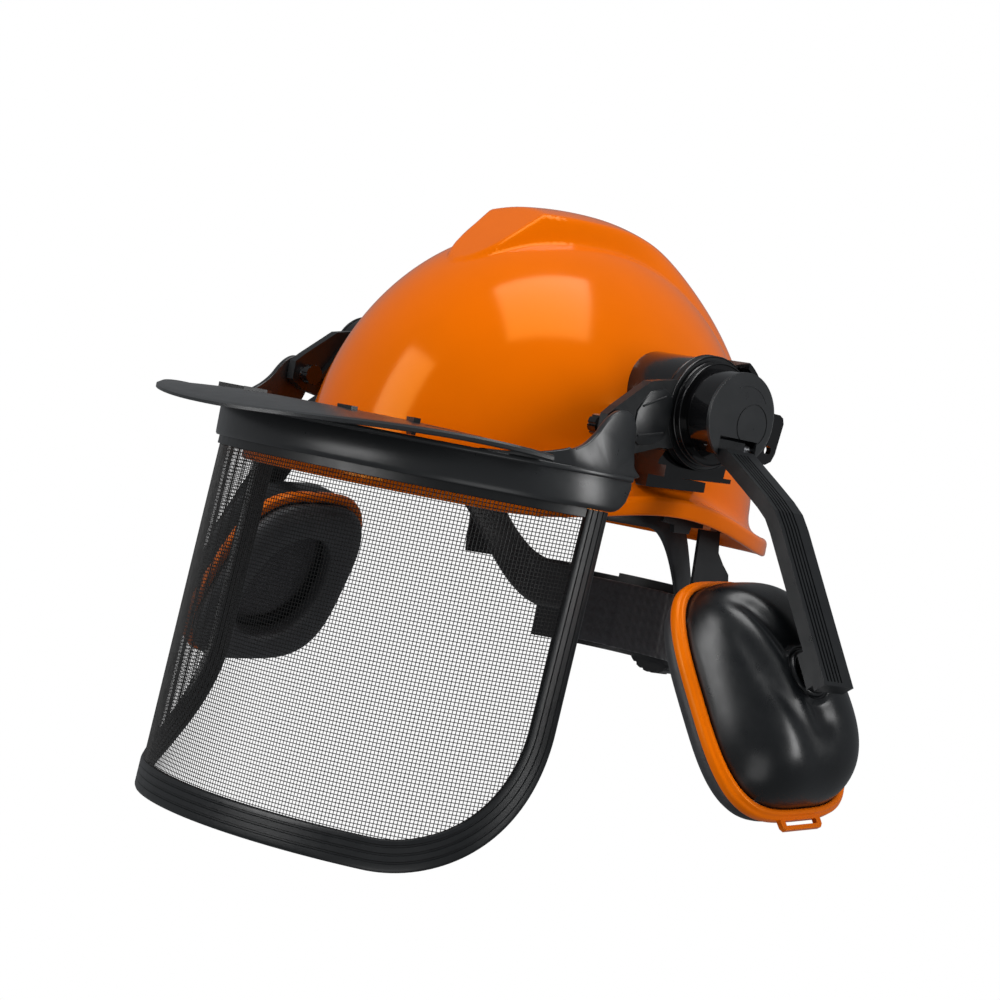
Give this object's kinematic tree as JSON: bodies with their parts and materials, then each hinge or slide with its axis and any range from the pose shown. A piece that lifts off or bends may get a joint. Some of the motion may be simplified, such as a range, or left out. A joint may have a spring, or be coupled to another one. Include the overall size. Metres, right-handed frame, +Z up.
{
  "type": "forestry helmet",
  "caption": "Forestry safety helmet with a curved mesh visor, peak and folding ear muffs on pivoting arms.",
  "frame": {"origin": "centre of the head opening at the height of the rim, where the head seats", "axes": "+X to the wearer's left, -Y to the front, +Z up"},
  "size_m": [0.4692, 0.3399, 0.3241],
  "materials": {
    "shell_orange": "glossy moulded",
    "gloss_black": "glossy moulded",
    "satin_black": "satin moulded",
    "mesh_black": "woven mesh, black",
    "binding_black": "satin extruded strip",
    "cup_black": "satin, softly sculpted",
    "ring_orange": "satin moulded",
    "cushion_grey": "soft foil over foam",
    "foam_grey": "open foam",
    "harness_black": "satin moulded",
    "sweat_cloth": "brushed towelling",
    "webbing": "woven tape",
    "steel": "plain bright"
  },
  "bodies": {
    "shell": {"shell": "shell_orange", "hub_base_left": "gloss_black", "hub_base_right": "gloss_black", "hub_axle_left": "steel", "hub_axle_right": "steel", "hub_nut_left": "steel", "hub_nut_right": "steel", "click_washer_left": "steel", "click_washer_right": "steel", "headband": "harness_black", "sweatband": "sweat_cloth", "nape_band": "harness_black", "nape_pad": "foam_grey", "nape_hanger_left": "harness_black", "nape_hanger_right": "harness_black", "harness_keys": "harness_black", "crown_strap_a": "webbing", "crown_strap_b": "webbing", "crown_pad": "foam_grey"},
    "visor_arm_left": {"visor_arm_left": "satin_black", "tilt_pin_left": "steel", "tilt_knob_left": "gloss_black"},
    "visor_arm_right": {"visor_arm_right": "satin_black", "tilt_pin_right": "steel", "tilt_knob_right": "gloss_black"},
    "visor": {"visor_carrier": "satin_black", "peak": "satin_black", "peak_clips": "satin_black", "visor_mesh": "mesh_black", "visor_top_strip": "satin_black", "edge_binding": "binding_black"},
    "knob": {"knob": "harness_black", "pinion": "harness_black"},
    "rack_left": {"rack_left": "harness_black"},
    "rack_right": {"rack_right": "harness_black"},
    "muff_drum_left": {"muff_drum_left": "gloss_black", "drum_cap_left": "satin_black", "fold_pin_left": "steel"},
    "muff_arm_left": {"muff_arm_left": "satin_black"},
    "cup_carriage_left": {"cup_carriage_left": "satin_black"},
    "swivel_left": {"swivel_left": "satin_black"},
    "cup_left": {"cup_shell_left": "cup_black", "cup_ring_left": "ring_orange", "cup_backplate_left": "satin_black", "cup_foam_left": "foam_grey", "cup_cushion_left": "cushion_grey"},
    "muff_drum_right": {"muff_drum_right": "gloss_black", "drum_cap_right": "satin_black", "fold_pin_right": "steel"},
    "muff_arm_right": {"muff_arm_right": "satin_black"},
    "cup_carriage_right": {"cup_carriage_right": "satin_black"},
    "swivel_right": {"swivel_right": "satin_black"},
    "cup_right": {"cup_shell_right": "cup_black", "cup_ring_right": "ring_orange", "cup_backplate_right": "satin_black", "cup_foam_right": "foam_grey", "cup_cushion_right": "cushion_grey"}
  },
  "joints": [
    {"name": "visor_lift", "type": "hinge", "parent": "shell", "child": "visor_arm_left", "pos_m": [0.119, -0.0056, 0.0465], "axis": [-1, 0, 0], "range_deg": [0, 75]},
    {"name": "visor_lift_right", "type": "hinge", "parent": "shell", "child": "visor_arm_right", "pos_m": [-0.119, -0.0056, 0.0465], "axis": [-1, 0, 0], "range_deg": [0, 75]},
    {"name": "visor_tilt", "type": "hinge", "parent": "visor_arm_left", "child": "visor", "pos_m": [0.1244, -0.0648, 0.031], "axis": [-1, 0, 0], "range_deg": [-3, 20]},
    {"name": "nape_knob", "type": "hinge", "parent": "shell", "child": "knob", "pos_m": [0, 0.1165, -0.068], "axis": [0, 1, 0], "range_deg": [-150, 150]},
    {"name": "rack_left_slide", "type": "slide", "parent": "shell", "child": "rack_left", "axis": [1, 0, 0], "range_m": [-0.0112, 0.0112]},
    {"name": "rack_right_slide", "type": "slide", "parent": "shell", "child": "rack_right", "axis": [1, 0, 0], "range_m": [-0.0112, 0.0112]},
    {"name": "muff_swing_left", "type": "hinge", "parent": "shell", "child": "muff_drum_left", "pos_m": [0.13, -0.0056, 0.0465], "axis": [1, 0, 0], "range_deg": [0, 50]},
    {"name": "muff_fold_left", "type": "hinge", "parent": "muff_drum_left", "child": "muff_arm_left", "pos_m": [0.138, -0.005, 0.033], "axis": [0, -1, 0], "range_deg": [-36, 3]},
    {"name": "cup_height_left", "type": "slide", "parent": "muff_arm_left", "child": "cup_carriage_left", "axis": [-0.5606, 0, 0.8281], "range_m": [0, 0.03]},
    {"name": "cup_turn_left", "type": "hinge", "parent": "cup_carriage_left", "child": "swivel_left", "pos_m": [0.2113, -0.005, -0.06349], "axis": [0.8281, 0, 0.5606], "range_deg": [-10, 10]},
    {"name": "cup_tilt_left", "type": "hinge", "parent": "swivel_left", "child": "cup_left", "pos_m": [0.2113, -0.005, -0.06349], "axis": [0, -1, 0], "range_deg": [-7, 7]},
    {"name": "muff_swing_right", "type": "hinge", "parent": "shell", "child": "muff_drum_right", "pos_m": [-0.13, -0.0056, 0.0465], "axis": [1, 0, 0], "range_deg": [0, 50]},
    {"name": "muff_fold_right", "type": "hinge", "parent": "muff_drum_right", "child": "muff_arm_right", "pos_m": [-0.138, -0.005, 0.033], "axis": [0, 1, 0], "range_deg": [-36, 3]},
    {"name": "cup_height_right", "type": "slide", "parent": "muff_arm_right", "child": "cup_carriage_right", "axis": [0.5606, 0, 0.8281], "range_m": [0, 0.03]},
    {"name": "cup_turn_right", "type": "hinge", "parent": "cup_carriage_right", "child": "swivel_right", "pos_m": [-0.2113, -0.005, -0.06349], "axis": [-0.8281, 0, 0.5606], "range_deg": [-10, 10]},
    {"name": "cup_tilt_right", "type": "hinge", "parent": "swivel_right", "child": "cup_right", "pos_m": [-0.2113, -0.005, -0.06349], "axis": [0, 1, 0], "range_deg": [-7, 7]}
  ],
  "couplings": [
    {"joint": "visor_lift_right", "follows": "visor_lift", "ratio": 1},
    {"joint": "rack_left_slide", "follows": "nape_knob", "m_per_rad": 0.0042},
    {"joint": "rack_right_slide", "follows": "nape_knob", "m_per_rad": -0.0042}
  ]
}
